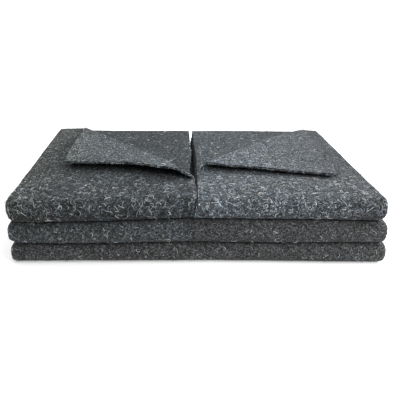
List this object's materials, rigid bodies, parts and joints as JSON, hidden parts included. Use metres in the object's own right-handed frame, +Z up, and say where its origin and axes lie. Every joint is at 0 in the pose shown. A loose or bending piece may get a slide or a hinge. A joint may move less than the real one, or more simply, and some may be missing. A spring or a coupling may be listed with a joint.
{
  "type": "moving blanket stack",
  "caption": "Folded grey felt moving blankets lying in two low stacks side by side, rounded folds to the front and outside, with a corner of each top ply turned back.",
  "frame": {"origin": "middle of the bounding box's bottom face, on the surface that the stack lies on", "axes": "+X to the right along the two stacks side by side, -Y to the front where the plies fold over, +Z up"},
  "size_m": [0.9424, 0.6582, 0.2107],
  "materials": {
    "felt": "matt recycled-fibre felt, dark grey with light curly threads"
  },
  "bodies": {
    "root": {"blanket_left_bottom": "felt", "blanket_left_middle": "felt", "blanket_left_top": "felt", "blanket_right_bottom": "felt", "blanket_right_middle": "felt", "blanket_right_top": "felt"}
  },
  "joints": []
}
